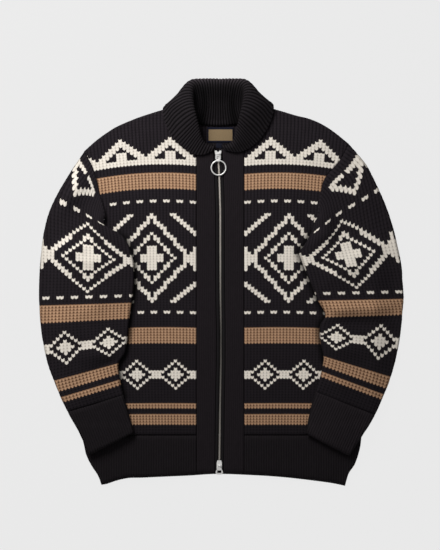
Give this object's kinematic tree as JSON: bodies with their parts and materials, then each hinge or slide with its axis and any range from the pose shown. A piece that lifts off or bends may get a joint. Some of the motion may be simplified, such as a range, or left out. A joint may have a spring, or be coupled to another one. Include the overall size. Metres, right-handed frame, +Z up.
{
  "type": "cowichan cardigan",
  "caption": "Chunky knitted zip cardigan with a ribbed shawl collar and bold yoke, chest and sleeve patterns, laid flat on its back with the sleeves folded down.",
  "frame": {"origin": "on the floor under the back panel, in the middle of the chest, below the zip line", "axes": "+X towards the wearer's left sleeve, +Y towards the collar, +Z up from the floor towards the fronts"},
  "size_m": [0.6717, 0.7514, 0.0354],
  "materials": {
    "charcoal_knit": "matt chunky knit",
    "charcoal_rib": "matt rib knit",
    "zip_tape": "woven tape",
    "zip_metal": "pale brass teeth",
    "slider_metal": "polished nickel",
    "label_cloth": "woven label, bare",
    "tab_cloth": "woven tab, bare"
  },
  "bodies": {
    "root": {"back_panel": "charcoal_knit", "front_right": "charcoal_knit", "front_left": "charcoal_knit", "sleeve_right": "charcoal_knit", "sleeve_left": "charcoal_knit", "hem_rib_back": "charcoal_rib", "hem_rib_front_right": "charcoal_rib", "hem_rib_front_left": "charcoal_rib", "cuff_right": "charcoal_rib", "cuff_left": "charcoal_rib", "band_right": "charcoal_rib", "band_left": "charcoal_rib", "collar": "charcoal_rib", "zip_tape_right": "zip_tape", "zip_tape_left": "zip_tape", "zip_chain": "zip_metal", "slider_top": "slider_metal", "slider_bottom": "slider_metal", "neck_label": "label_cloth", "size_tab": "tab_cloth"},
    "top_pull": {"pull_link_top": "slider_metal"},
    "top_ring": {"pull_ring": "slider_metal"},
    "bottom_pull": {"pull_bottom": "slider_metal"}
  },
  "joints": [
    {"name": "top_pull_hinge", "type": "hinge", "parent": "root", "child": "top_pull", "pos_m": [-0.0005, 0.2365, 0.0156], "axis": [-1, 0, 0], "range_deg": [0, 130]},
    {"name": "ring_hinge", "type": "hinge", "parent": "top_pull", "child": "top_ring", "pos_m": [-0.0005, 0.22377, 0.0143], "axis": [-1, 0, 0], "range_deg": [0, 60]},
    {"name": "bottom_pull_hinge", "type": "hinge", "parent": "root", "child": "bottom_pull", "pos_m": [0.00181, -0.338, 0.0156], "axis": [-1, 0, 0], "range_deg": [0, 150]}
  ]
}
